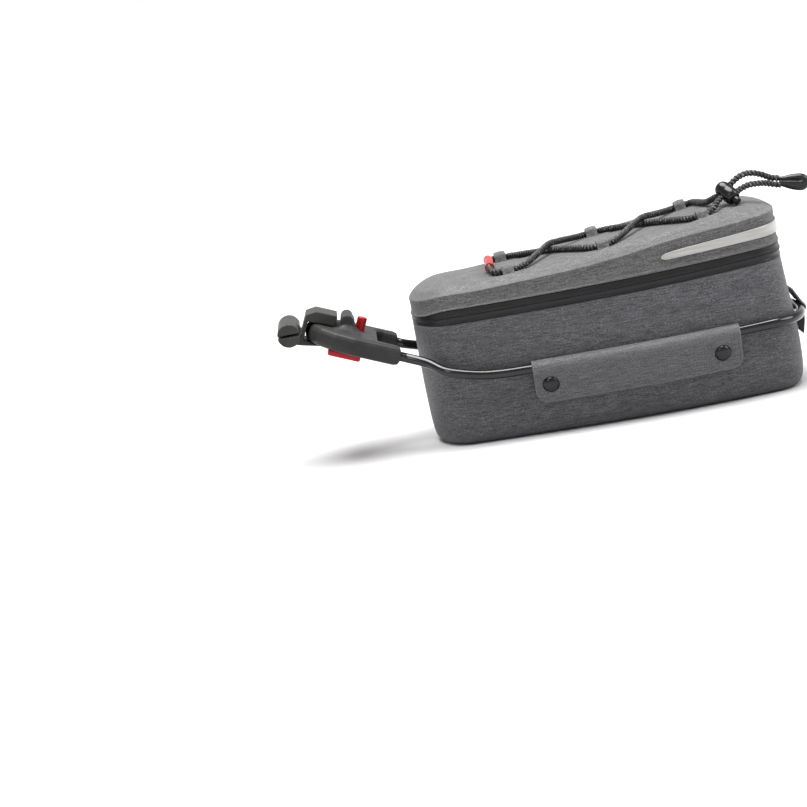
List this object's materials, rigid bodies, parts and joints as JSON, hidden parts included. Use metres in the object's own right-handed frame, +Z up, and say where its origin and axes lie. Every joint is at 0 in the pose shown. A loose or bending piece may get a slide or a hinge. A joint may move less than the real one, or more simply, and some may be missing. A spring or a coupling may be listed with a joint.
{
  "type": "bicycle saddle bag",
  "caption": "Semi-rigid zipped saddle bag on a bent rod carrier, with a push-button head, a saddle rail clamp and elastic cord laced over its crowned lid.",
  "frame": {"origin": "centre of the bag's flat base, on the surface it stands on", "axes": "+X from the nose and the coupling head to the rear, +Z up from the base, -Y to the bicycle's left side"},
  "size_m": [0.4003, 0.1584, 0.1586],
  "materials": {
    "body_fabric": "coated, heathered grey, matt",
    "lid_fabric": "coated, heathered grey, matt",
    "zip_tape": "coated, black, satin",
    "reflector": "silver reflective film",
    "rod": "black gloss coating",
    "head_plastic": "moulded, satin",
    "black_plastic": "moulded, gloss",
    "red_plastic": "moulded, satin",
    "cord": "braided elastic cord"
  },
  "bodies": {
    "bag": {"bag_body": "body_fabric", "bag_lid": "lid_fabric", "zip_tape": "zip_tape", "zip_slider": "black_plastic", "reflective_strip": "reflector", "flap_left": "body_fabric", "flap_right": "body_fabric", "snap_left_front": "black_plastic", "snap_left_rear": "black_plastic", "snap_right_front": "black_plastic", "snap_right_rear": "black_plastic", "rear_tab": "body_fabric", "rear_hook": "black_plastic", "carrier_rod": "rod", "coupling_head": "head_plastic", "saddle_adapter": "head_plastic", "rail_clamp": "black_plastic", "lacing_cord": "cord", "cord_sleeve": "red_plastic", "cord_lock": "black_plastic", "cord_tail_upper": "cord", "cord_tail_lower": "cord", "cord_end": "black_plastic", "cord_loop_front_left": "lid_fabric", "cord_loop_front_right": "lid_fabric", "cord_loop_middle_left": "lid_fabric", "cord_loop_middle_right": "lid_fabric", "cord_loop_rear_left": "lid_fabric", "cord_loop_rear_right": "lid_fabric"},
    "button": {"release_button": "red_plastic"},
    "bar": {"release_bar": "red_plastic"},
    "plunger": {"lock_plunger": "black_plastic"}
  },
  "joints": [
    {"name": "button_press", "type": "slide", "parent": "bag", "child": "button", "axis": [-0.3907, 0, -0.9205], "range_m": [0, 0.004], "stiffness_N_per_m": 200, "springref_m": -0.005},
    {"name": "bar_press", "type": "slide", "parent": "bag", "child": "bar", "axis": [0.3907, 0, 0.9205], "range_m": [0, 0.0025], "stiffness_N_per_m": 300, "springref_m": -0.004},
    {"name": "plunger_press", "type": "slide", "parent": "bag", "child": "plunger", "axis": [-0.4926, 0.6435, 0.5858], "range_m": [0, 0.003], "stiffness_N_per_m": 250, "springref_m": -0.003}
  ]
}
